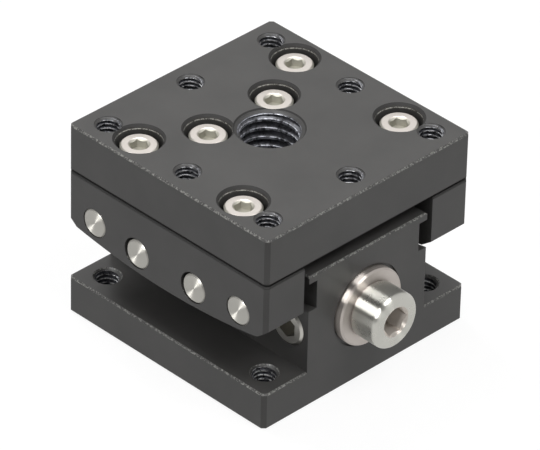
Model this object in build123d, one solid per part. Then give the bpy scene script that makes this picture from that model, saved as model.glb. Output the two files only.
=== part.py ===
from build123d import *
import math
import os

# Goniometer stage, 40 mm square and 32 mm high, tilted by a feed screw. All sizes in millimetres.
# Origin at the centre of the base's bottom face, +Z up. The drive screw's head points to -Y.
# The table tilts about an axis that lies along X, high above the table.

# Overall
side = 40.0                    # square of base and table
total_height = 32.0
table_thickness = 7.8
base_thickness = 6.0
axis_above_table = 88.0        # from the table's top face up to the tilt axis
tilt_limit = 3.0               # degrees each way

# Edges
corner_cut = 0.6               # upright corners of base, table and side blocks
edge_break = 0.25              # all other outside edges of the anodised pieces
joint_edge_table = 0.45        # the two edges that meet where the table lies on the side blocks
joint_edge_block = 0.15

# Centre block and its arc grooves
block_width = 23.3
table_gap = 2.0                # between the block's top and the table
groove_radius = 103.3          # centreline of the grooves, about the tilt axis
groove_depth = 1.55

# Side blocks
side_gap = 1.0                 # between centre block and side block
edge_wall = 0.73               # below the pins, to the arc-shaped lower edge
end_cut_along = 1.8            # slanted cut at both ends of the lower edge
end_cut_up = 1.4

# Guide pins and rollers
pin_diameter = 4.5
pin_edge = 0.25                # chamfer round a pin's outer end
outer_pin_from_end = 5.5       # from the table's front and back faces
inner_pin_y = 5.7
inner_pin_play = 0.4           # how much larger the inner pins' holes are
inner_pin_shift_y = -0.15      # where the preload has pushed them in those holes
inner_pin_shift_z = -0.10
journal_diameter = 2.5
roller_diameter = 4.5
roller_width = 2.0
roller_gap = 0.05              # between a roller and each wall of its groove
roller_bore_gap = 0.05         # radial, on the journal
roller_end_gap = 0.25          # to the side block and to the bottom of the groove

# Cap screws
screw_diameter = 3.0
screw_length = 8.0
screw_head_diameter = 5.5
screw_head_height = 3.0
screw_key = 2.5
screw_key_depth = 1.4
screw_key_mouth = 3.2           # cone at the socket's mouth
screw_head_recess = 0.9        # top of the heads below the table's face
screw_hole_play = 0.4          # clearance holes in the table
counterbore_diameter = 6.9
counterbore_mouth = 7.6
side_screw_from_side = 4.7     # from the table's left and right faces
side_screw_from_end = 9.55     # from its front and back faces
thread_gap = 0.02              # radial, between a screw and its tapped hole
preload_screw_length = 4.0
preload_key = 1.5

# Tapped holes for the user
hole_edge = 4.0                # from the outer holes to the sides of base and table
table_thread = 4.0
table_thread_mouth = 4.1
centre_thread = 10.0
centre_thread_mouth = 10.4
base_thread = 4.0
base_thread_mouth = 4.3

# Drive screw and what carries it
drive_below_groove = 4.7       # its centreline, below the lowest point of the grooves' centreline
head_diameter = 8.7
head_length = 4.4
head_rim = 0.7                 # rounding of the head's front rim
head_key = 4.0
head_key_depth = 3.0
key_mouth_diameter = 4.8
journal_front_diameter = 6.0
lead_thread_diameter = 5.0
journal_tail_diameter = 4.0
running_gap = 0.03             # radial, of the screw in its bushes and nut
end_gap = 0.05                 # endways, between the pieces on the screw
washer_diameter = 8.3
washer_thickness = 0.3
flange_diameter = 12.1
flange_thickness = 1.4
flange_proud = 0.95
flange_edge = 0.25             # chamfer round its front
flange_recess_diameter = 13.0
bush_diameter = 9.0
tail_bush_diameter = 8.0
tail_bush_recess = 1.0         # its back end below the back face
collar_diameter = 8.4
collar_length = 2.4
cup_thickness = 0.3            # spring washer
cup_height = 0.2
seat_gap = 0.02                # radial, of what is pressed into a bore

# Drive nut and its bracket
nut_y = 5.7
nut_width = 8.0
nut_length = 7.0
nut_height = 8.0
nut_edge = 1.0
trunnion_diameter = 4.0
trunnion_reach = 3.0
trunnion_gap = 0.05
arm_clear = 0.4                # between nut and arm, and between arm and pocket
arm_thickness = 2.8
arm_wall = 2.15                # each side of the slot
arm_below = 3.4                # arm's end below the screw's centreline
slot_above = 0.65              # room above the trunnion, for the arc's rise
bracket_flange_width = 17.4
bracket_flange_depth = 6.4
bracket_screw_from_end = 2.2   # from the flange's left and right ends
stop_gap = 0.10                # left at the end of travel
pocket_clear = 0.5

# Clamp screw
clamp_from_front = 3.9
clamp_diameter = 6.0
clamp_length = 5.0
clamp_proud = 0.25
clamp_key = 3.0
clamp_key_depth = 2.4
set_screw_edge = 0.4           # chamfer at both ends of a set screw
clamp_travel = 0.25
tip_diameter = 3.0
tip_seat = 1.5
tip_hole_gap = 0.06

# Worked out from the above
half = side / 2
table_bottom = total_height - table_thickness
block_top = table_bottom - table_gap
axis_z = total_height + axis_above_table
drive_height = axis_z - groove_radius - drive_below_groove
outer_pin_y = half - outer_pin_from_end
side_screw_x = half - side_screw_from_side
side_screw_y = half - side_screw_from_end
bracket_screw_x = bracket_flange_width / 2 - bracket_screw_from_end
clamp_y = clamp_from_front - half
block_half = block_width / 2
side_block_inner = block_half + side_gap
groove_height = roller_diameter + 2 * roller_gap
groove_bottom_x = block_half - groove_depth
lower_edge_radius = groove_radius + pin_diameter / 2 + edge_wall
screw_seat = total_height - screw_head_recess - screw_head_height
screw_tip = screw_seat - screw_length
tilt = math.radians(tilt_limit)
nut_travel = (axis_z - drive_height) * math.tan(tilt)
stop_front = nut_y - nut_length / 2 - nut_travel - stop_gap
stop_back = nut_y + nut_length / 2 + nut_travel + stop_gap
flange_front = -half - flange_proud
flange_back = flange_front + flange_thickness
head_back = flange_front - washer_thickness - 2 * end_gap
head_front = head_back - head_length
collar_front = stop_front - collar_length
bush_back = collar_front - cup_thickness - cup_height - 2 * end_gap
arm_width = trunnion_diameter + 2 * trunnion_gap + 2 * arm_wall
arm_inner = nut_width / 2 + arm_clear
arm_outer = arm_inner + arm_thickness
arm_end = drive_height - arm_below
arm_sweep = arm_width / 2 + (axis_z - arm_end) * math.sin(tilt)
arm_drop = arm_width / 2 * math.sin(tilt)
pocket_front = nut_y - arm_sweep - pocket_clear
pocket_back = nut_y + arm_sweep + pocket_clear
pocket_floor = min(arm_end - arm_drop, drive_height - collar_diameter / 2) - pocket_clear
bracket_flange_end = screw_tip
flange_pocket_floor = bracket_flange_end - bracket_flange_depth / 2 * math.sin(tilt) - pocket_clear


def block(x_from, x_to, y_from, y_to, z_from, z_to):
    """Box between two opposite corners."""
    solid = Box(x_to - x_from, y_to - y_from, z_to - z_from)
    return Pos((x_from + x_to) / 2, (y_from + y_to) / 2, (z_from + z_to) / 2) * solid


def rod_x(diameter, x_from, x_to, y, z):
    """Round rod along X."""
    solid = Cylinder(diameter / 2, x_to - x_from)
    return Pos((x_from + x_to) / 2, y, z) * Rot(0, 90, 0) * solid


def rod_y(diameter, y_from, y_to, x, z):
    """Round rod along Y."""
    solid = Cylinder(diameter / 2, y_to - y_from)
    return Pos(x, (y_from + y_to) / 2, z) * Rot(90, 0, 0) * solid


def rod_z(diameter, z_from, z_to, x, y):
    """Round rod along Z."""
    solid = Cylinder(diameter / 2, z_to - z_from)
    return Pos(x, y, (z_from + z_to) / 2) * solid


def hexagon(across_flats, depth):
    """Hexagonal prism from z = 0 up."""
    return extrude(RegularPolygon(across_flats / 2, 6, major_radius=False), depth)


def arc_height(radius, y):
    """Height at y of an arc of that radius about the tilt axis."""
    return axis_z - math.sqrt(radius ** 2 - y ** 2)


def arc_ring(radius_in, radius_out, x_from, x_to):
    """Ring about the tilt axis."""
    outer = rod_x(2 * radius_out, x_from, x_to, 0, axis_z)
    inner = rod_x(2 * radius_in, x_from - 1, x_to + 1, 0, axis_z)
    return outer - inner


def square_plate(z_from, z_to, under_edge):
    """Square plate with its upright corners cut and its edges broken."""
    plate = block(-half, half, -half, half, z_from, z_to)
    plate = chamfer(plate.edges().filter_by(Axis.Z), corner_cut)
    plate = chamfer(plate.faces().sort_by(Axis.Z)[0].edges(), under_edge)
    return chamfer(plate.faces().sort_by(Axis.Z)[-1].edges(), edge_break)


def coned_hole(diameter, mouth, z_from, z_to, x, y):
    """Cutter for an upright hole with a small cone at its upper mouth."""
    cone_height = (mouth - diameter) / 2
    cone = Cone(diameter / 2, mouth / 2, cone_height, align=(Align.CENTER, Align.CENTER, Align.MAX))
    return rod_z(diameter, z_from, z_to, x, y) + Pos(x, y, z_to) * cone


def cap_screw(x, y):
    """Socket cap screw, its head seated at screw_seat."""
    head = rod_z(screw_head_diameter, screw_seat, screw_seat + screw_head_height, x, y)
    head = chamfer(head.edges().sort_by(Axis.Z)[-1], edge_break)
    shank = rod_z(screw_diameter, screw_tip, screw_seat, x, y)
    shank = chamfer(shank.edges().sort_by(Axis.Z)[0], edge_break)
    top = screw_seat + screw_head_height
    socket = Pos(x, y, top - screw_key_depth) * hexagon(screw_key, screw_key_depth)
    mouth_depth = (screw_key_mouth - screw_key) / 2
    mouth = Cone(screw_key / 2, screw_key_mouth / 2, mouth_depth, align=(Align.CENTER, Align.CENTER, Align.MAX))
    return head + shank - (socket + Pos(x, y, top) * mouth)


def set_screw(diameter, length, key, key_depth):
    """Set screw along Z, its socket end at z = 0 and its point at z = -length."""
    body = rod_z(diameter, -length, 0, 0, 0)
    body = chamfer(body.edges(), set_screw_edge)
    return body - Pos(0, 0, -key_depth) * hexagon(key, key_depth)


def pin_place(name, sign):
    """Centre of a guide pin in the YZ plane: name is outer or inner, sign picks the end."""
    y = sign * (outer_pin_y if name == "outer" else inner_pin_y)
    return y, arc_height(groove_radius, y)


def side_screw_places():
    """Where the four screws of the side blocks stand."""
    return [(x, y) for x in (-side_screw_x, side_screw_x) for y in (-side_screw_y, side_screw_y)]


def corner_places():
    """Corners of the square hole pattern."""
    reach = half - hole_edge
    return [(x, y) for x in (-reach, reach) for y in (-reach, reach)]


def cross_places():
    """Middles of the sides of the square hole pattern."""
    reach = half - hole_edge
    return [(-reach, 0), (reach, 0), (0, -reach), (0, reach)]


def base_block():
    """Base plate and centre block, milled from one piece."""
    centre = block(-block_half, block_half, -half, half, base_thickness / 2, block_top)
    centre = chamfer(centre.faces().sort_by(Axis.Z)[-1].edges(), edge_break)
    body = square_plate(0, base_thickness, edge_break) + centre
    low, high = groove_radius - groove_height / 2, groove_radius + groove_height / 2
    body -= arc_ring(low, high, groove_bottom_x, block_half + 1)
    body -= arc_ring(low, high, -block_half - 1, -groove_bottom_x)
    # Pocket for the nut and the bracket's arms, wider at the top for the bracket's flange
    arm_room = arm_outer + arm_clear
    flange_room = bracket_flange_width / 2 + arm_clear
    body -= block(-arm_room, arm_room, pocket_front, pocket_back, pocket_floor, block_top + 1)
    body -= block(-flange_room, flange_room, pocket_front, pocket_back, flange_pocket_floor, block_top + 1)
    # Bore of the flanged bush with its recess, and bore of the tail bush
    bore = bush_diameter + 2 * seat_gap
    body -= rod_y(bore, -half - 1, pocket_front + 1, 0, drive_height)
    body -= rod_y(flange_recess_diameter, -half - 1, flange_back, 0, drive_height)
    body -= rod_y(tail_bush_diameter + 2 * seat_gap, pocket_back - 1, half + 1, 0, drive_height)
    # Clamp screw's tapped hole, from the left, and the smaller hole of its tip
    thread_end = -block_half - clamp_proud + clamp_length + clamp_travel + end_gap
    body -= rod_x(clamp_diameter + 2 * thread_gap, -block_half - 1, thread_end, clamp_y, drive_height)
    body -= rod_x(tip_diameter + 2 * tip_hole_gap, thread_end - 1, 0, clamp_y, drive_height)
    for x, y in corner_places():
        body -= coned_hole(base_thread, base_thread_mouth, -1, base_thickness, x, y)
    return body


def table_plate():
    """Table, with tapped holes for the user and counterbored holes for the cap screws."""
    plate = square_plate(table_bottom, total_height, joint_edge_table)
    below = table_bottom - 1
    for x, y in corner_places() + cross_places():
        plate -= coned_hole(table_thread, table_thread_mouth, below, total_height, x, y)
    plate -= coned_hole(centre_thread, centre_thread_mouth, below, total_height, 0, 0)
    bracket_places = [(-bracket_screw_x, nut_y), (bracket_screw_x, nut_y)]
    for x, y in side_screw_places() + bracket_places:
        plate -= rod_z(screw_diameter + screw_hole_play, below, total_height, x, y)
        plate -= coned_hole(counterbore_diameter, counterbore_mouth, screw_seat, total_height, x, y)
    return plate


def side_block(sign):
    """Block under the table with the guide pins; its lower edge follows the tilt arc."""
    arc_y = half - end_cut_along
    arc_z = arc_height(lower_edge_radius, arc_y)
    edge = Polyline((-arc_y, arc_z), (-half, arc_z + end_cut_up), (-half, table_bottom),
                    (half, table_bottom), (half, arc_z + end_cut_up), (arc_y, arc_z))
    arc = ThreePointArc((arc_y, arc_z), (0, arc_height(lower_edge_radius, 0)), (-arc_y, arc_z))
    outline = make_face(edge.edges() + arc.edges())
    body = Pos(side_block_inner, 0, 0) * extrude(Plane.YZ * outline, half - side_block_inner)
    upright = body.edges().filter_by(Axis.Z).sort_by(Axis.X)[-2:]
    body = chamfer(upright, corner_cut)
    body = chamfer(body.faces().sort_by(Axis.Z)[-1].edges(), joint_edge_block)
    for end in (-1, 1):
        y, z = pin_place("outer", end)
        body -= rod_x(pin_diameter + 2 * seat_gap, side_block_inner - 1, half + 1, y, z)
        y, z = pin_place("inner", end)
        hole_y, hole_z = y - inner_pin_shift_y, z - inner_pin_shift_z
        hole = pin_diameter + inner_pin_play
        body -= rod_x(hole, side_block_inner - 1, half + 1, hole_y, hole_z)
        bore = screw_diameter + 2 * thread_gap
        middle = (side_block_inner + half) / 2
        body -= rod_z(bore, z, table_bottom + 1, middle, y)
        body -= rod_z(bore, screw_tip - 1, table_bottom + 1, side_screw_x, end * side_screw_y)
    return body if sign > 0 else mirror(body, Plane.YZ)


def side_block_screws():
    """Four cap screws that hold the side blocks under the table."""
    return [cap_screw(x, y) for x, y in side_screw_places()]


def bracket_screws():
    """Two cap screws that hold the nut bracket under the table."""
    return [cap_screw(x, nut_y) for x in (-bracket_screw_x, bracket_screw_x)]


def guide_pins(name, sign):
    """Two stepped pins of one side, flush with the side block's outer face."""
    pins = []
    for end in (-1, 1):
        y, z = pin_place(name, end)
        body = rod_x(pin_diameter, side_block_inner, half, y, z)
        body = chamfer(body.edges().sort_by(Axis.X)[-1], pin_edge)
        journal_end = groove_bottom_x + roller_end_gap / 2
        pin = body + rod_x(journal_diameter, journal_end, side_block_inner + 1, y, z)
        pins.append(pin if sign > 0 else mirror(pin, Plane.YZ))
    return pins


def guide_roller(name, end, sign):
    """Roller on a pin's journal, running in the arc groove."""
    y, z = pin_place(name, end)
    x_from = groove_bottom_x + roller_end_gap
    roller = rod_x(roller_diameter, x_from, x_from + roller_width, y, z)
    roller = chamfer(roller.edges(), edge_break / 2)
    bore = journal_diameter + 2 * roller_bore_gap
    roller -= rod_x(bore, x_from - 1, x_from + roller_width + 1, y, z)
    return roller if sign > 0 else mirror(roller, Plane.YZ)


def preload_screws():
    """Set screws that bear on the inner pins from above, hidden under the table."""
    screws = []
    middle = (side_block_inner + half) / 2
    for x in (-middle, middle):
        for end in (-1, 1):
            y, z = pin_place("inner", end)
            top = z + pin_diameter / 2 + preload_screw_length
            screw = set_screw(screw_diameter, preload_screw_length, preload_key, preload_key)
            screws.append(Pos(x, y, top) * screw)
    return screws


def drive_screw():
    """Feed screw turned in one piece with its head; its thread is a plain rod here."""
    head = rod_y(head_diameter, head_front, head_back, 0, drive_height)
    head = fillet(head.edges().sort_by(Axis.Y)[0], head_rim)
    screw = head + rod_y(journal_front_diameter, head_back, collar_front, 0, drive_height)
    screw += rod_y(lead_thread_diameter, collar_front, stop_back, 0, drive_height)
    screw += rod_y(journal_tail_diameter, stop_back, half - tail_bush_recess, 0, drive_height)
    mouth_depth = (key_mouth_diameter - head_key) / 2
    mouth = Cone(key_mouth_diameter / 2, head_key / 2, mouth_depth, align=(Align.CENTER, Align.CENTER, Align.MIN))
    socket = Pos(0, head_front, drive_height) * Rot(-90, 0, 0) * (hexagon(head_key, head_key_depth) + mouth)
    return screw - socket


def thrust_washer():
    """Thin washer between the drive screw's head and the flanged bush."""
    y_to = flange_front - end_gap
    y_from = y_to - washer_thickness
    washer = rod_y(washer_diameter, y_from, y_to, 0, drive_height)
    return washer - rod_y(journal_front_diameter + 2 * running_gap, y_from - 1, y_to + 1, 0, drive_height)


def flanged_bush():
    """Bush in the front of the centre block, its flange in a recess."""
    bush = rod_y(flange_diameter, flange_front, flange_back, 0, drive_height)
    bush = chamfer(bush.edges().sort_by(Axis.Y)[0], flange_edge)
    bush += rod_y(bush_diameter, flange_back, bush_back, 0, drive_height)
    bush -= rod_y(journal_front_diameter + 2 * running_gap, flange_front - 1, bush_back + 1, 0, drive_height)
    return bush - rod_x(tip_diameter + 2 * tip_hole_gap, -bush_diameter, 0, clamp_y, drive_height)


def spring_washer():
    """Cupped washer that takes up the drive screw's end play."""
    inner = journal_front_diameter / 2 + 2 * running_gap
    outer = collar_diameter / 2
    y = collar_front - end_gap
    rise = cup_height
    profile = Polyline((inner, y), (outer, y - rise), (outer, y - rise - cup_thickness),
                       (inner, y - cup_thickness), close=True)
    return Pos(0, 0, drive_height) * revolve(make_face(profile), Axis.Y)


def stop_collar():
    """Collar fixed on the drive screw: it holds the screw endways and stops the nut."""
    collar = rod_y(collar_diameter, collar_front, stop_front, 0, drive_height)
    collar = chamfer(collar.edges(), edge_break)
    return collar - rod_y(lead_thread_diameter + 2 * seat_gap, collar_front - 1, stop_front + 1, 0, drive_height)


def tail_bush():
    """Bush at the back end of the drive screw; its front face is the other stop."""
    back = half - tail_bush_recess
    bush = rod_y(tail_bush_diameter, stop_back, back, 0, drive_height)
    return bush - rod_y(journal_tail_diameter + 2 * running_gap, stop_back - 1, back + 1, 0, drive_height)


def drive_nut():
    """Square bronze nut with a trunnion on each side."""
    body = block(-nut_width / 2, nut_width / 2, nut_y - nut_length / 2, nut_y + nut_length / 2,
                 drive_height - nut_height / 2, drive_height + nut_height / 2)
    body = chamfer(body.edges().filter_by(Axis.Y), nut_edge)
    reach = nut_width / 2 + trunnion_reach
    body += chamfer(rod_x(trunnion_diameter, -reach, reach, nut_y, drive_height).edges(), edge_break)
    bore = lead_thread_diameter + 2 * running_gap
    return body - rod_y(bore, nut_y - nut_length, nut_y + nut_length, 0, drive_height)


def nut_bracket():
    """Bracket under the table; its slotted arms straddle the nut's trunnions."""
    width, depth = bracket_flange_width / 2, bracket_flange_depth / 2
    bracket = block(-width, width, nut_y - depth, nut_y + depth, bracket_flange_end, table_bottom)
    bracket = chamfer(bracket.edges().filter_by(Axis.Z), nut_edge)
    slot_width = trunnion_diameter + 2 * trunnion_gap
    slot_top = drive_height + trunnion_diameter / 2 + slot_above
    for x_from, x_to in ((-arm_outer, -arm_inner), (arm_inner, arm_outer)):
        arm = block(x_from, x_to, nut_y - arm_width / 2, nut_y + arm_width / 2, arm_end, bracket_flange_end)
        arm = chamfer(arm.faces().sort_by(Axis.Z)[0].edges().filter_by(Axis.X), nut_edge)
        arm -= block(x_from - 1, x_to + 1, nut_y - slot_width / 2, nut_y + slot_width / 2,
                     arm_end - 1, slot_top - slot_width / 2)
        arm -= rod_x(slot_width, x_from - 1, x_to + 1, nut_y, slot_top - slot_width / 2)
        bracket += arm
    for x in (-bracket_screw_x, bracket_screw_x):
        bracket -= rod_z(screw_diameter + 2 * thread_gap, screw_tip - 1, table_bottom + 1, x, nut_y)
    return bracket


def clamp_screw():
    """Set screw in the left of the centre block that presses the tip on the drive screw."""
    screw = set_screw(clamp_diameter, clamp_length, clamp_key, clamp_key_depth)
    seat = tip_diameter + 2 * thread_gap
    screw -= rod_z(seat, -clamp_length - 1, -clamp_length + tip_seat, 0, 0)
    return Pos(-block_half - clamp_proud, clamp_y, drive_height) * Rot(0, -90, 0) * screw


def clamp_tip():
    """Brass tip that swivels in the clamp screw's point."""
    x_from = -block_half - clamp_proud + clamp_length - tip_seat + end_gap
    x_to = -journal_front_diameter / 2 - clamp_travel - seat_gap
    tip = rod_x(tip_diameter, x_from, x_to, clamp_y, drive_height)
    return chamfer(tip.edges(), edge_break)


os.makedirs("parts", exist_ok=True)
pieces = {
    "base_block": base_block(),
    "table_plate": table_plate(),
    "right_side_block": side_block(1),
    "left_side_block": side_block(-1),
    "side_block_screws": side_block_screws(),
    "bracket_screws": bracket_screws(),
    "preload_screws": preload_screws(),
    "drive_screw": drive_screw(),
    "thrust_washer": thrust_washer(),
    "flanged_bush": flanged_bush(),
    "spring_washer": spring_washer(),
    "stop_collar": stop_collar(),
    "tail_bush": tail_bush(),
    "drive_nut": drive_nut(),
    "nut_bracket": nut_bracket(),
    "clamp_screw": clamp_screw(),
    "clamp_tip": clamp_tip(),
}
roller_order = [("outer", -1), ("inner", -1), ("inner", 1), ("outer", 1)]
for side_name, side_sign in (("left", -1), ("right", 1)):
    for pin_name in ("outer", "inner"):
        pieces[f"{side_name}_{pin_name}_pins"] = guide_pins(pin_name, side_sign)
    for number, (pin_name, pin_end) in enumerate(roller_order, 1):
        pieces[f"{side_name}_roller_{number}"] = guide_roller(pin_name, pin_end, side_sign)

for node, shape in pieces.items():
    if isinstance(shape, list):
        shape = Compound(children=[solid for group in shape for solid in group.solids()])
    export_step(shape, f"parts/{node}.step")
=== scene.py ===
import math

import bmesh
import bpy
from mathutils import Matrix, Vector


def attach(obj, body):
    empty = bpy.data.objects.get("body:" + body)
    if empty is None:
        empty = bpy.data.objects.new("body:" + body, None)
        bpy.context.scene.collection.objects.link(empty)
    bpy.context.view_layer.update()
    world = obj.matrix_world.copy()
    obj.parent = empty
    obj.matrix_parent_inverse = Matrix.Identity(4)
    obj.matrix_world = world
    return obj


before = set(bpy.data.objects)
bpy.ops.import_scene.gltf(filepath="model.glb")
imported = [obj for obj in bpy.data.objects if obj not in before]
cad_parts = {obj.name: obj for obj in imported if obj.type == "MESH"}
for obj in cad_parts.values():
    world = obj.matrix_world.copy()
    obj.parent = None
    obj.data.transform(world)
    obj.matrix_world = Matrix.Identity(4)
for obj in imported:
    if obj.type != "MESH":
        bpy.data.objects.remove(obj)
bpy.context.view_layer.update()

# Base and centre block: one piece of aluminium, milled all over, its edges broken by hand and then
# blasted and anodised black. The dye gives a dark warm grey with a soft sheen, never a deep black.
MM = 0.001
joint_height = 24.3    # the joint between side blocks and table, in mm like all sizes here
mouth_floor = 30.0     # the mouths of the table's holes lie above this height,
mouth_reach = 19.2     # and nearer to the middle than this, both ways
rim_height = 31.36     # where the rounded rims of the counterbores end


def linear(hex_colour):
    """Turns an sRGB hex colour into the linear RGBA that the shaders take."""
    channels = [int(hex_colour[i:i + 2], 16) / 255 for i in (1, 3, 5)]
    return [c / 12.92 if c <= 0.04045 else ((c + 0.055) / 1.055) ** 2.4 for c in channels] + [1.0]


def add_node(tree, kind, inputs=None, **settings):
    """Adds a node. inputs gives a socket's name or number a value, or the output that feeds it."""
    new = tree.nodes.new(kind)
    for name, value in settings.items():
        setattr(new, name, value)
    for socket, value in (inputs or {}).items():
        if isinstance(value, bpy.types.NodeSocket):
            tree.links.new(value, new.inputs[socket])
        else:
            new.inputs[socket].default_value = value
    return new


def new_finish(name):
    """A material with an empty tree but for its output, and the object coordinates that it reads."""
    material = bpy.data.materials.new(name)
    material.use_nodes = True
    material.node_tree.nodes.clear()
    place = add_node(material.node_tree, "ShaderNodeTexCoord")
    return material, material.node_tree, place


def dress(material, *nodes):
    """Gives CAD nodes their finish."""
    for node in nodes:
        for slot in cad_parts[node].material_slots:
            slot.material = material


def black_anodised(name, colour, roughness):
    """Blasted and black anodised aluminium: an even matt grey to the eye, with bare specks on its upward
    edges that are partly painted glints, painted shade in the mouths of the table's holes and in the joint,
    and a painted highlight round the counterbores."""
    material, tree, place = new_finish(name)
    # Blast marks are under 0.1 mm, too fine to show, so they are drawn at 0.15 mm. The dye drifts over 8 mm.
    grain = add_node(tree, "ShaderNodeTexNoise", {"Vector": place.outputs["Object"], "Scale": 1 / (0.15 * MM),
                                                  "Detail": 2.0, "Roughness": 0.6})
    drift = add_node(tree, "ShaderNodeTexNoise", {"Vector": place.outputs["Object"], "Scale": 1 / (8 * MM),
                                                  "Detail": 3.0})
    both = add_node(tree, "ShaderNodeMath", {0: grain.outputs["Fac"], 1: 0.35, 2: drift.outputs["Fac"]},
                    operation="MULTIPLY_ADD")
    dye_and_shade = add_node(tree, "ShaderNodeValToRGB", {"Fac": both.outputs[0]})
    dye_and_shade.color_ramp.elements[0].position = 0.45
    dye_and_shade.color_ramp.elements[0].color = [0.88 * c for c in linear(colour)[:3]] + [1]
    dye_and_shade.color_ramp.elements[1].position = 0.9
    dye_and_shade.color_ramp.elements[1].color = [1.12 * c for c in linear(colour)[:3]] + [1]
    # The broken edges that face up at 45 degrees get light specks of about 0.3 mm: partly bare metal where
    # the film is thin, partly painted glints, so only edges that face up get them. The joint has none.
    normal = add_node(tree, "ShaderNodeSeparateXYZ", {0: place.outputs["Normal"]})
    edge = add_node(tree, "ShaderNodeMath", {0: normal.outputs["Z"], 1: 0.707, 2: 0.13}, operation="COMPARE")
    height = add_node(tree, "ShaderNodeSeparateXYZ", {0: place.outputs["Object"]})
    joint = add_node(tree, "ShaderNodeMath", {0: height.outputs["Z"], 1: joint_height * MM, 2: 0.5 * MM},
                     operation="COMPARE")
    edge = add_node(tree, "ShaderNodeMath", {0: edge.outputs[0], 1: joint.outputs[0]}, operation="SUBTRACT",
                    use_clamp=True)
    chips_and_glints = add_node(tree, "ShaderNodeTexNoise", {"Vector": place.outputs["Object"], "Scale": 1 / (0.30 * MM),
                                                  "Detail": 3.0, "Roughness": 0.7})
    speck = add_node(tree, "ShaderNodeMapRange", {"Value": chips_and_glints.outputs["Fac"], "From Min": 0.47,
                                                  "From Max": 0.62})
    # The mouths of the table's holes are whole, without specks, and their chamfers are darkened below:
    # painted shade in the holes' mouths
    reach = add_node(tree, "ShaderNodeVectorMath", {0: place.outputs["Object"]}, operation="ABSOLUTE")
    reach = add_node(tree, "ShaderNodeSeparateXYZ", {0: reach.outputs[0]})
    reach = add_node(tree, "ShaderNodeMath", {0: reach.outputs["X"], 1: reach.outputs["Y"]},
                     operation="MAXIMUM")
    inward = add_node(tree, "ShaderNodeMath", {0: reach.outputs[0], 1: mouth_reach * MM},
                      operation="LESS_THAN")
    upper = add_node(tree, "ShaderNodeMath", {0: height.outputs["Z"], 1: mouth_floor * MM},
                     operation="GREATER_THAN")
    mouth = add_node(tree, "ShaderNodeMath", {0: inward.outputs[0], 1: upper.outputs[0]},
                     operation="MULTIPLY")
    speck = add_node(tree, "ShaderNodeMath", {0: speck.outputs[0], 1: mouth.outputs[0]}, operation="SUBTRACT",
                     use_clamp=True)
    bare_and_glint = add_node(tree, "ShaderNodeMath", {0: edge.outputs[0], 1: speck.outputs[0]}, operation="MULTIPLY")
    # Painted highlight: a bright broken line runs round the counterbores where their rounded rims end, drawn
    # in a light colour in place of the glint there
    rim_glint = add_node(tree, "ShaderNodeMath", {0: height.outputs["Z"], 1: rim_height * MM, 2: 0.09 * MM},
                   operation="COMPARE")
    line = add_node(tree, "ShaderNodeMapRange", {"Value": chips_and_glints.outputs["Fac"], "From Min": 0.42,
                                                 "From Max": 0.56})
    rim_glint = add_node(tree, "ShaderNodeMath", {0: rim_glint.outputs[0], 1: line.outputs[0]}, operation="MULTIPLY")
    rim_glint = add_node(tree, "ShaderNodeMath", {0: rim_glint.outputs[0], 1: inward.outputs[0]}, operation="MULTIPLY")
    # Painted shade: the upward chamfers in the mouths of the table's holes are drawn dark
    mouth = add_node(tree, "ShaderNodeMath", {0: mouth.outputs[0], 1: edge.outputs[0]}, operation="MULTIPLY")
    # Painted shade: the joint between table and side blocks is darkened
    away = add_node(tree, "ShaderNodeMath", {0: height.outputs["Z"], 1: joint_height * MM},
                    operation="SUBTRACT")
    away = add_node(tree, "ShaderNodeMath", {0: away.outputs[0]}, operation="ABSOLUTE")
    joint_shade = add_node(tree, "ShaderNodeMapRange", {"Value": away.outputs[0], "From Min": 0.55 * MM,
                                                 "From Max": 0.24 * MM})
    # Painted shade of the holes' mouths and the joint, mixed into the dye
    painted_shade = add_node(tree, "ShaderNodeMath", {0: mouth.outputs[0], 1: joint_shade.outputs[0]}, operation="MAXIMUM")
    dye_and_shade = add_node(tree, "ShaderNodeMix", {"Factor": painted_shade.outputs[0], "A": dye_and_shade.outputs["Color"],
                                           "B": linear("#262524")}, data_type="RGBA")
    skin = add_node(tree, "ShaderNodeMix", {"Factor": bare_and_glint.outputs[0], "A": dye_and_shade.outputs["Result"],
                                            "B": linear("#91918c")}, data_type="RGBA")
    # Painted highlight: the light colour of the glint round the counterbores
    skin = add_node(tree, "ShaderNodeMix", {"Factor": rim_glint.outputs[0], "A": skin.outputs["Result"],
                                            "B": linear("#d2d2cc")}, data_type="RGBA")
    gloss = add_node(tree, "ShaderNodeMapRange", {"Value": grain.outputs["Fac"], "To Min": roughness - 0.05,
                                                  "To Max": roughness + 0.07})
    gloss = add_node(tree, "ShaderNodeMix", {"Factor": painted_shade.outputs[0], "A": gloss.outputs[0], "B": 0.75})
    bump = add_node(tree, "ShaderNodeBump", {"Height": grain.outputs["Fac"], "Distance": 0.004 * MM,
                                             "Strength": 0.6})
    shader = add_node(tree, "ShaderNodeBsdfPrincipled", {"Base Color": skin.outputs["Result"],
                                                         "Roughness": gloss.outputs[0], "IOR": 1.45,
                                                         "Specular IOR Level": 0.38,
                                                         "Normal": bump.outputs[0]})
    add_node(tree, "ShaderNodeOutputMaterial", {"Surface": shader.outputs[0]})
    return material


body_black = black_anodised("black_anodised_aluminium", "#484746", 0.36)
dress(body_black, "base_block")

# Threads of the base's corner holes, M4, cut in the same aluminium before it was anodised. The flanks are
# dark, and the crests, where the film is thinnest, are drawn light: partly bare metal, partly a painted
# glint.


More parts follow.
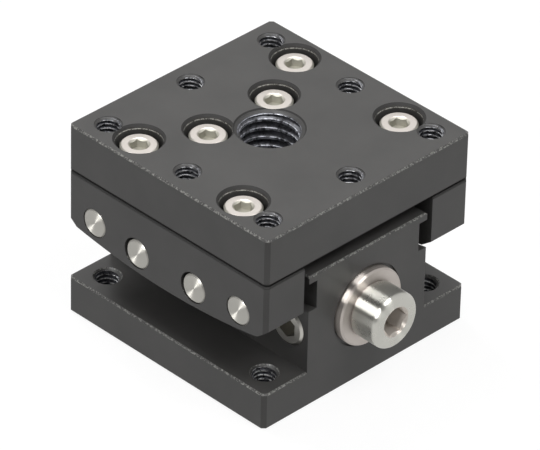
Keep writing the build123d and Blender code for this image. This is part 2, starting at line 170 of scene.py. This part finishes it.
def thread_ridge(major, minor, pitch, z_from, z_to, crest_z, lip, steps=32):
    """The helical ridge of a tapped hole on the Z axis, cut at both ends by the 45 degree cones of its
    mouths. crest_z is the height of one of its crests on the side furthest from the front left, and lip
    the depth of the whole ring at the upper mouth."""
    tool = bmesh.new()
    wear_and_glint = tool.verts.layers.float.new("wear_and_glint")
    wall, crest = (major / 2 + 0.02) * MM, minor / 2 * MM
    # The standard profile: 7/8 of the pitch wide at the wall, and a flat of 1/4 at the crest
    root_half, crest_half = 0.4375 * pitch * MM, 0.125 * pitch * MM
    flank = [(wall + (crest - wall) * t, root_half + (crest_half - root_half) * t) for t in (0, 0.4, 0.8, 1)]
    section = [(r, -h) for r, h in flank] + [(r, h) for r, h in reversed(flank)]
    low, high = (z_from - 0.02) * MM, (z_to + 0.02) * MM
    middle = crest_z * MM - math.ceil((crest_z * MM - low) / (pitch * MM)) * pitch * MM
    turns = math.ceil((high - middle) / (pitch * MM)) + 1
    far = math.sqrt(0.5)
    corners = [tool.verts.new((r * far, r * far, middle + h)) for r, h in section]
    # The crest flat is marked light: partly thin film, partly a painted glint
    for i in (3, 4):
        corners[i][wear_and_glint] = 1.0
    loop = [tool.edges.new((corners[i], corners[(i + 1) % 8])) for i in range(8)]
    bmesh.ops.spin(tool, geom=loop, cent=(0, 0, 0), axis=(0, 0, 1), dvec=(0, 0, pitch * MM / steps),
                   angle=2 * math.pi * turns, steps=turns * steps)
    for corner in tool.verts:
        out = Vector(corner.co.xy)
        cone = wall - min(high - corner.co.z, corner.co.z - low)
        if cone > out.length:
            corner.co.xy = out * min(cone, wall) / out.length
            corner[wear_and_glint] = -1.0
    for height, way in ((z_from * MM, -1), (z_to * MM, 1)):
        bmesh.ops.bisect_plane(tool, geom=tool.verts[:] + tool.edges[:] + tool.faces[:],
                               plane_co=(0, 0, height), plane_no=(0, 0, way), clear_outer=True)
    bmesh.ops.holes_fill(tool, edges=[e for e in tool.edges if e.is_boundary], sides=0)
    # The ring's section, as distance from the wall, depth below the face, and wear; the light band at the
    # cone's lower edge is a painted glint
    ring = [(0, 0, -1.0), (0.6 * lip, 0.6 * lip, -1.0), (lip, lip, 1.0), (lip, lip + 0.03, 1.0),
            (0, lip + 0.1, 0.0)]
    corners = []
    for inset, drop, ring_wear_and_glint in ring:
        corners.append(tool.verts.new((wall - inset * MM, 0, z_to * MM - drop * MM)))
        corners[-1][wear_and_glint] = ring_wear_and_glint
    loop = [tool.edges.new((corners[i], corners[(i + 1) % 5])) for i in range(5)]
    bmesh.ops.spin(tool, geom=loop, cent=(0, 0, 0), axis=(0, 0, 1), angle=2 * math.pi, steps=2 * steps,
                   use_merge=True)
    bmesh.ops.recalc_face_normals(tool, faces=tool.faces)
    for face in tool.faces:
        face.smooth = True
    return tool


def tapped_threads(name, centres, tool, body):
    """Copies of one thread ridge in all holes of its size, as one piece."""
    first = tool.verts[:] + tool.edges[:] + tool.faces[:]
    for x, y in centres[1:]:
        copy = bmesh.ops.duplicate(tool, geom=first)["geom"]
        bmesh.ops.translate(tool, verts=[v for v in copy if isinstance(v, bmesh.types.BMVert)],
                            vec=(x * MM, y * MM, 0))
    bmesh.ops.translate(tool, verts=[v for v in first if isinstance(v, bmesh.types.BMVert)],
                        vec=(centres[0][0] * MM, centres[0][1] * MM, 0))
    mesh = bpy.data.meshes.new(name)
    tool.to_mesh(mesh)
    tool.free()
    mesh.set_sharp_from_angle(angle=math.radians(25))
    piece = bpy.data.objects.new(name, mesh)
    bpy.context.scene.collection.objects.link(piece)
    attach(piece, body)
    return piece


def anodised_thread(name, crest):
    """Anodised flanks, crests with so thin a film that they look nearly bare in patches of about 0.6 mm,
    their lightness partly a painted glint, and the mouth's cone as dark as the faces."""
    material, tree, place = new_finish(name)
    wear_and_glint = add_node(tree, "ShaderNodeAttribute", attribute_name="wear_and_glint")
    scuff = add_node(tree, "ShaderNodeTexNoise", {"Vector": place.outputs["Object"], "Scale": 1 / (0.6 * MM),
                                                  "Detail": 3.0, "Roughness": 0.7})
    flank = add_node(tree, "ShaderNodeValToRGB", {"Fac": scuff.outputs["Fac"]})
    flank.color_ramp.elements[0].position = 0.42
    flank.color_ramp.elements[0].color = linear("#37373b")
    flank.color_ramp.elements[1].position = 0.62
    flank.color_ramp.elements[1].color = linear("#55565c")
    rubbed_and_glint = add_node(tree, "ShaderNodeMapRange", {"Value": wear_and_glint.outputs["Fac"], "From Min": 0.1,
                                                   "From Max": 0.7})
    patchy = add_node(tree, "ShaderNodeMapRange", {"Value": scuff.outputs["Fac"], "From Min": 0.42,
                                                   "From Max": 0.62})
    bright = add_node(tree, "ShaderNodeMath", {0: rubbed_and_glint.outputs[0], 1: patchy.outputs[0]},
                      operation="MULTIPLY")
    inside = add_node(tree, "ShaderNodeMix", {"Factor": bright.outputs[0], "A": flank.outputs["Color"],
                                              "B": linear(crest)}, data_type="RGBA")
    cone = add_node(tree, "ShaderNodeMapRange", {"Value": wear_and_glint.outputs["Fac"], "From Min": -0.2,
                                                 "From Max": -0.6})
    colour = add_node(tree, "ShaderNodeMix", {"Factor": cone.outputs[0], "A": inside.outputs["Result"],
                                              "B": linear("#3a3938")}, data_type="RGBA")
    shiny = add_node(tree, "ShaderNodeMapRange", {"Value": cone.outputs[0], "To Min": 0.4, "To Max": 0.0})
    gloss = add_node(tree, "ShaderNodeMapRange", {"Value": scuff.outputs["Fac"], "To Min": 0.18,
                                                  "To Max": 0.42})
    gloss = add_node(tree, "ShaderNodeMix", {"Factor": cone.outputs[0], "A": gloss.outputs[0], "B": 0.6})
    bump = add_node(tree, "ShaderNodeBump", {"Height": scuff.outputs["Fac"], "Distance": 0.02 * MM,
                                             "Strength": 1.0})
    shader = add_node(tree, "ShaderNodeBsdfPrincipled", {"Base Color": colour.outputs["Result"],
                                                         "Metallic": shiny.outputs[0],
                                                         "Roughness": gloss.outputs[0],
                                                         "Normal": bump.outputs[0]})
    add_node(tree, "ShaderNodeOutputMaterial", {"Surface": shader.outputs[0]})
    return material


small_black = anodised_thread("anodised_small_thread", "#cacacc")
hole_reach = 16.0
corners = [(x, y) for x in (-hole_reach, hole_reach) for y in (-hole_reach, hole_reach)]
base_threads = tapped_threads("base_m4_threads", corners,
                              thread_ridge(4.0, 3.25, 0.7, 0.0, 5.85, 4.4, 0.2), "base")
# Painted light: the base's crests are drawn lighter than the table's, standing in for light in the shaded
# corner holes
base_threads.data.materials.append(anodised_thread("anodised_base_thread_painted_light", "#ececec"))

# Flanged bush: steel, turned, pressed into the front of the centre block, and the thrust washer that
# lies on its flange. Turning rings stretch every highlight into a wedge on a face, a streak on a side.
drive_height = 12.0


def lathe_shine(tree, place, spoke, axis):
    """Tangent for a turned surface: across the tool marks that run round the axis through spoke's foot."""
    round_way = add_node(tree, "ShaderNodeVectorMath", {0: axis, 1: spoke}, operation="CROSS_PRODUCT")
    across = add_node(tree, "ShaderNodeVectorMath", {0: place.outputs["Normal"], 1: round_way.outputs[0]},
                      operation="CROSS_PRODUCT")
    return add_node(tree, "ShaderNodeVectorMath", {0: across.outputs[0]}, operation="NORMALIZE").outputs[0]


def turned_steel(name, colour, roughness, ring_depth, ring_width, socket_radius=None):
    """Steel turned about the drive screw's axis. The tool's rings are about 0.05 mm apart, too fine to show,
    so they are drawn ring_width apart. Within socket_radius, in the formed key socket, the steel is matt and
    painted lighter: painted light in the shaded socket."""
    material, tree, place = new_finish(name)
    split = add_node(tree, "ShaderNodeSeparateXYZ", {0: place.outputs["Object"]})
    above = add_node(tree, "ShaderNodeMath", {0: split.outputs["Z"], 1: drive_height * MM},
                     operation="SUBTRACT")
    spoke = add_node(tree, "ShaderNodeCombineXYZ", {"X": split.outputs["X"], "Z": above.outputs[0]})
    radius = add_node(tree, "ShaderNodeVectorMath", {0: spoke.outputs[0]}, operation="LENGTH")
    rings = add_node(tree, "ShaderNodeCombineXYZ", {"X": radius.outputs["Value"], "Y": split.outputs["Y"]})
    grooves = add_node(tree, "ShaderNodeTexNoise", {"Vector": rings.outputs[0],
                                                    "Scale": 1 / (ring_width * MM), "Detail": 2.0})
    # Smudges of about 1.5 mm from handling
    smudge = add_node(tree, "ShaderNodeTexNoise", {"Vector": place.outputs["Object"],
                                                   "Scale": 1 / (1.5 * MM)})
    gloss = add_node(tree, "ShaderNodeMapRange", {"Value": smudge.outputs["Fac"], "To Min": roughness - 0.05,
                                                  "To Max": roughness + 0.06})
    bump = add_node(tree, "ShaderNodeBump", {"Height": grooves.outputs["Fac"], "Distance": ring_depth * MM,
                                             "Strength": 1.0})
    tangent = lathe_shine(tree, place, spoke.outputs[0], (0, 1, 0))
    tone = linear(colour)
    # Painted light: the key socket is drawn lighter than the steel around it
    if socket_radius is not None:
        socket = add_node(tree, "ShaderNodeMath", {0: radius.outputs["Value"], 1: socket_radius * MM},
                          operation="LESS_THAN")
        tone = add_node(tree, "ShaderNodeMix", {"Factor": socket.outputs[0], "A": linear(colour),
                                                "B": linear("#cfc8c0")}, data_type="RGBA").outputs["Result"]
        gloss = add_node(tree, "ShaderNodeMix", {"Factor": socket.outputs[0], "A": gloss.outputs[0],
                                                 "B": 0.5})
    shader = add_node(tree, "ShaderNodeBsdfPrincipled", {"Base Color": tone, "Metallic": 1.0,
                                                         "Roughness": gloss.outputs[0], "Anisotropic": 1.0,
                                                         "Tangent": tangent, "Normal": bump.outputs[0]})
    add_node(tree, "ShaderNodeOutputMaterial", {"Surface": shader.outputs[0]})
    return material


dress(turned_steel("turned_steel_bush", "#b5aea8", 0.35, 0.001, 0.10), "flanged_bush", "thrust_washer")

# Bush at the drive screw's back end, pressed into the centre block, and the nut on the drive screw,
# whose two trunnions sit in the bracket's arms. Both are turned from tin bronze.


def bronze(name, colour, roughness):
    """Turned copper alloy, warm yellow and a little dull with oil in patches of about 2 mm."""
    material, tree, place = new_finish(name)
    patch = add_node(tree, "ShaderNodeTexNoise", {"Vector": place.outputs["Object"], "Scale": 1 / (2 * MM),
                                                  "Detail": 3.0})
    tone = add_node(tree, "ShaderNodeValToRGB", {"Fac": patch.outputs["Fac"]})
    tone.color_ramp.elements[0].position = 0.3
    tone.color_ramp.elements[0].color = [0.8 * c for c in linear(colour)[:3]] + [1]
    tone.color_ramp.elements[1].position = 0.7
    tone.color_ramp.elements[1].color = linear(colour)
    gloss = add_node(tree, "ShaderNodeMapRange", {"Value": patch.outputs["Fac"], "To Min": roughness - 0.06,
                                                  "To Max": roughness + 0.08})
    shader = add_node(tree, "ShaderNodeBsdfPrincipled", {"Base Color": tone.outputs["Color"], "Metallic": 1.0,
                                                         "Roughness": gloss.outputs[0]})
    add_node(tree, "ShaderNodeOutputMaterial", {"Surface": shader.outputs[0]})
    return material


dress(bronze("tin_bronze", "#b58a5a", 0.34), "tail_bush", "drive_nut")

# Drive screw: stainless steel, turned in one piece and its head polished, with a hex socket for a
# 4 mm key. Spring washer and stop collar turn with it behind the bush.
key_socket_radius = 2.42
dress(turned_steel("polished_stainless_steel", "#bab9b2", 0.28, 0.0001, 0.16, key_socket_radius),
      "drive_screw")
dress(turned_steel("turned_stainless_steel", "#a8a7a2", 0.34, 0.002, 0.12), "stop_collar", "spring_washer")

# Nut bracket: aluminium, milled and anodised as the base is. Two cap screws from above hold it under
# the table, and its slotted arms straddle the nut.
dress(body_black, "nut_bracket")

# Clamp screw: a plain M6 set screw with a 3 mm socket, stainless steel, and in its point a tip of
# soft brass that doesn't mark the drive screw.


def plain_steel(name, colour, roughness, socket_z=None):
    """Steel as bought, formed or ground and then tumbled, which leaves it bright and slightly matt, with
    dents of about 0.3 mm. Below socket_z, in the key sockets, it is dull and painted darker: painted shade in
    the sockets."""
    material, tree, place = new_finish(name)
    tumble = add_node(tree, "ShaderNodeTexNoise", {"Vector": place.outputs["Object"], "Scale": 1 / (0.3 * MM),
                                                   "Detail": 3.0})
    gloss = add_node(tree, "ShaderNodeMapRange", {"Value": tumble.outputs["Fac"], "To Min": roughness - 0.07,
                                                  "To Max": roughness + 0.09})
    bump = add_node(tree, "ShaderNodeBump", {"Height": tumble.outputs["Fac"], "Distance": 0.003 * MM,
                                             "Strength": 0.7})
    tone = linear(colour)
    # Painted shade: below socket_z the key sockets are drawn darker, and rougher
    if socket_z is not None:
        height = add_node(tree, "ShaderNodeSeparateXYZ", {0: place.outputs["Object"]})
        depth = add_node(tree, "ShaderNodeMapRange", {"Value": height.outputs["Z"],
                                                      "From Min": (socket_z - 0.12) * MM,
                                                      "From Max": socket_z * MM})
        gloss = add_node(tree, "ShaderNodeMix", {"Factor": depth.outputs[0], "A": 0.62,
                                                 "B": gloss.outputs[0]})
        tone = add_node(tree, "ShaderNodeMix", {"Factor": depth.outputs[0], "A": linear("#a3a198"),
                                                "B": linear(colour)}, data_type="RGBA").outputs["Result"]
    shader = add_node(tree, "ShaderNodeBsdfPrincipled", {"Base Color": tone, "Metallic": 1.0,
                                                         "Roughness": gloss.outputs[0],
                                                         "Normal": bump.outputs[0]})
    add_node(tree, "ShaderNodeOutputMaterial", {"Surface": shader.outputs[0]})
    return material


dress(plain_steel("stainless_set_screw", "#b0aea8", 0.30), "clamp_screw", "preload_screws")
dress(bronze("free_cutting_brass", "#c9a95e", 0.28), "clamp_tip")

# Rollers: hardened bearing steel, ground. They turn on the inner ends of the guide pins and run in the
# two arc grooves of the centre block.
sides = ("left", "right")
dress(plain_steel("ground_bearing_steel", "#bdbcb8", 0.22),
      *[f"{side}_roller_{number}" for side in sides for number in range(1, 5)])

# Guide pins: steel, turned, their outer faces flush with the side blocks. Light falls on the turning
# rings as two opposite wedges, as on any faced bar end.


def faced_pin(name, colour, roughness, pin_y, pin_z):
    """Steel pin ends, faced on a lathe. Two pins share a node, at plus and minus pin_y. The rings are too
    fine to show and are drawn 0.12 mm apart."""
    material, tree, place = new_finish(name)
    split = add_node(tree, "ShaderNodeSeparateXYZ", {0: place.outputs["Object"]})
    end = add_node(tree, "ShaderNodeMath", {0: split.outputs["Y"]}, operation="SIGN")
    across = add_node(tree, "ShaderNodeMath", {0: end.outputs[0], 1: -pin_y * MM, 2: split.outputs["Y"]},
                      operation="MULTIPLY_ADD")
    up = add_node(tree, "ShaderNodeMath", {0: split.outputs["Z"], 1: pin_z * MM}, operation="SUBTRACT")
    spoke = add_node(tree, "ShaderNodeCombineXYZ", {"Y": across.outputs[0], "Z": up.outputs[0]})
    radius = add_node(tree, "ShaderNodeVectorMath", {0: spoke.outputs[0]}, operation="LENGTH")
    rings = add_node(tree, "ShaderNodeCombineXYZ", {"X": radius.outputs["Value"], "Y": split.outputs["X"]})
    grooves = add_node(tree, "ShaderNodeTexNoise", {"Vector": rings.outputs[0], "Scale": 1 / (0.12 * MM)})
    bump = add_node(tree, "ShaderNodeBump", {"Height": grooves.outputs["Fac"], "Distance": 0.001 * MM,
                                             "Strength": 0.8})
    tangent = lathe_shine(tree, place, spoke.outputs[0], (1, 0, 0))
    shader = add_node(tree, "ShaderNodeBsdfPrincipled", {"Base Color": linear(colour), "Metallic": 1.0,
                                                         "Roughness": roughness, "Anisotropic": 0.9,
                                                         "Tangent": tangent, "Normal": bump.outputs[0]})
    add_node(tree, "ShaderNodeOutputMaterial", {"Surface": shader.outputs[0]})
    return material


outer_steel = faced_pin("faced_steel_outer_pins", "#aeaca6", 0.50, 14.5, 17.723)
inner_steel = faced_pin("faced_steel_inner_pins", "#aeaca6", 0.50, 5.7, 16.857)
dress(outer_steel, *[f"{side}_outer_pins" for side in sides])
dress(inner_steel, *[f"{side}_inner_pins" for side in sides])

# Side blocks and table: aluminium, milled and anodised as the base is. Four cap screws hold the side
# blocks under the table.
dress(body_black, "left_side_block", "right_side_block", "table_plate")

# Threads of the table's holes, cut before anodising as in the base: M4 at the corners and half way
# along the sides, M10 in the middle. The large one's crests have a cold, bluish tone.
cross = [(-hole_reach, 0), (hole_reach, 0), (0, -hole_reach), (0, hole_reach)]
small_threads = tapped_threads("table_m4_threads", corners + cross,
                               thread_ridge(4.0, 3.25, 0.7, 24.2, 31.95, 30.9, 0.2), "table")
small_threads.data.materials.append(small_black)
large_thread = tapped_threads("table_m10_thread", [(0, 0)],
                              thread_ridge(10.0, 8.4, 1.5, 24.2, 31.8, 30.47, 0.5), "table")
large_thread.data.materials.append(anodised_thread("anodised_large_thread", "#b4b6be"))

# Cap screws: M3, stainless steel, cold headed, bright and slightly matt on top. They sit in the table's
# counterbores, four in the side blocks and two in the bracket.
cap_screw_top = 31.09
dress(plain_steel("stainless_cap_screw", "#cac4be", 0.42, cap_screw_top), "side_block_screws",
      "bracket_screws")

# Floor: plain white paper, seamless. It is white to the camera and in reflections, and much dimmer to
# matt surfaces, so that the stage isn't lit from below. It keeps the stage's soft shadow.
tool = bmesh.new()
bmesh.ops.create_grid(tool, x_segments=1, y_segments=1, size=3.0)
floor_mesh = bpy.data.meshes.new("floor")
tool.to_mesh(floor_mesh)
tool.free()
floor = bpy.data.objects.new("floor", floor_mesh)
bpy.context.scene.collection.objects.link(floor)
floor.data.transform(Matrix.Translation((0, 0, -0.00002)))
paper, tree, place = new_finish("white_paper_floor")
light_path = add_node(tree, "ShaderNodeLightPath")
seen = add_node(tree, "ShaderNodeMath", {0: light_path.outputs["Is Camera Ray"],
                                         1: light_path.outputs["Is Glossy Ray"]}, operation="MAXIMUM")
seen = add_node(tree, "ShaderNodeMath", {0: seen.outputs[0], 1: light_path.outputs["Is Transmission Ray"]},
                operation="MAXIMUM")
lift = add_node(tree, "ShaderNodeMath", {0: seen.outputs[0], 1: 0.87}, operation="MULTIPLY")
fibre = add_node(tree, "ShaderNodeTexNoise", {"Vector": place.outputs["Object"], "Scale": 1 / (4 * MM)})
shade = add_node(tree, "ShaderNodeMapRange", {"Value": fibre.outputs["Fac"], "To Min": 0.15, "To Max": 0.17})
matt = add_node(tree, "ShaderNodeBsdfDiffuse", {"Color": shade.outputs[0]})
glow = add_node(tree, "ShaderNodeEmission", {"Color": linear("#ffffff"), "Strength": lift.outputs[0]})
total = add_node(tree, "ShaderNodeAddShader", {0: matt.outputs[0], 1: glow.outputs[0]})
add_node(tree, "ShaderNodeOutputMaterial", {"Surface": total.outputs[0]})
floor.data.materials.append(paper)

# Studio: a white room, dim for what it adds to matt surfaces, and in reflections dimmer towards the
# front left and above. Three soft lamps stand at the front, back and left, and two more show only in
# reflections, where they draw the white streaks on the drive screw's head.
stage_middle = Vector((0, 0, 15 * MM))
world = bpy.data.worlds.new("studio")
bpy.context.scene.world = world
world.use_nodes = True
tree = world.node_tree
tree.nodes.clear()
light_path = add_node(tree, "ShaderNodeLightPath")
place = add_node(tree, "ShaderNodeTexCoord")
split = add_node(tree, "ShaderNodeSeparateXYZ", {0: place.outputs["Generated"]})
ceiling = add_node(tree, "ShaderNodeMapRange", {"Value": split.outputs["Z"], "To Min": 0.17, "To Max": 0.75})
dim_side = add_node(tree, "ShaderNodeVectorMath", {0: place.outputs["Generated"], 1: (-0.58, -0.58, 0.57)},
                    operation="DOT_PRODUCT")
mirrored = add_node(tree, "ShaderNodeMapRange", {"Value": dim_side.outputs["Value"], "From Min": 0.45,
                                                 "From Max": 0.9, "To Min": 1.0, "To Max": 0.3})
glossy = add_node(tree, "ShaderNodeMix", {"Factor": light_path.outputs["Is Glossy Ray"],
                                          "A": ceiling.outputs[0], "B": mirrored.outputs[0]})
seen = add_node(tree, "ShaderNodeMath", {0: light_path.outputs["Is Camera Ray"],
                                         1: light_path.outputs["Is Transmission Ray"]}, operation="MAXIMUM")
strength = add_node(tree, "ShaderNodeMix", {"Factor": seen.outputs[0], "A": glossy.outputs[0], "B": 1.0})
room = add_node(tree, "ShaderNodeBackground", {"Color": linear("#ffffff"), "Strength": strength.outputs[0]})
add_node(tree, "ShaderNodeOutputWorld", {"Surface": room.outputs[0]})


def soft_lamp(name, place, width, height, power):
    """A soft box that looks at the middle of the stage."""
    lamp = bpy.data.lights.new(name, "AREA")
    lamp.shape = "RECTANGLE"
    lamp.size = width
    lamp.size_y = height
    lamp.energy = power
    holder = bpy.data.objects.new(name, lamp)
    bpy.context.scene.collection.objects.link(holder)
    holder.location = place
    holder.rotation_euler = (Vector(place) - stage_middle).to_track_quat("Z", "Y").to_euler()
    return holder


soft_lamp("front_lamp", (0.05, -0.46, 0.76), 0.40, 0.40, 2.1)
soft_lamp("back_lamp", (0.0, 0.50, 0.74), 0.34, 0.34, 2.6)
soft_lamp("left_lamp", (-0.68, -0.12, 0.58), 0.34, 0.34, 0.9)
soft_lamp("left_shine", (-0.74, -0.10, 0.565), 0.34, 0.50, 10.0).visible_diffuse = False
soft_lamp("overhead_shine", (0.0, -0.22, 0.88), 0.50, 0.50, 5.5).visible_diffuse = False

# Camera: a long lens 0.83 m away at the front left, looking down at 35 degrees. Its place and lens are
# fitted to the corners of base and table.
view_azimuth, view_elevation, view_roll = (math.radians(a) for a in (-45.251, 34.624, 1.374))
turn = (Matrix.Rotation(view_azimuth, 4, "Z") @ Matrix.Rotation(math.pi / 2 - view_elevation, 4, "X")
        @ Matrix.Rotation(view_roll, 4, "Z"))
camera = bpy.data.objects.new("camera", bpy.data.cameras.new("camera"))
bpy.context.scene.collection.objects.link(camera)
camera.data.lens = 392.04
camera.data.sensor_width = 36.0
camera.matrix_world = (Matrix.Translation(stage_middle) @ turn
                       @ Matrix.Translation((0.000372, 0.000338, 0.83404)))
bpy.context.scene.camera = camera
bpy.context.scene.view_settings.view_transform = "Standard"
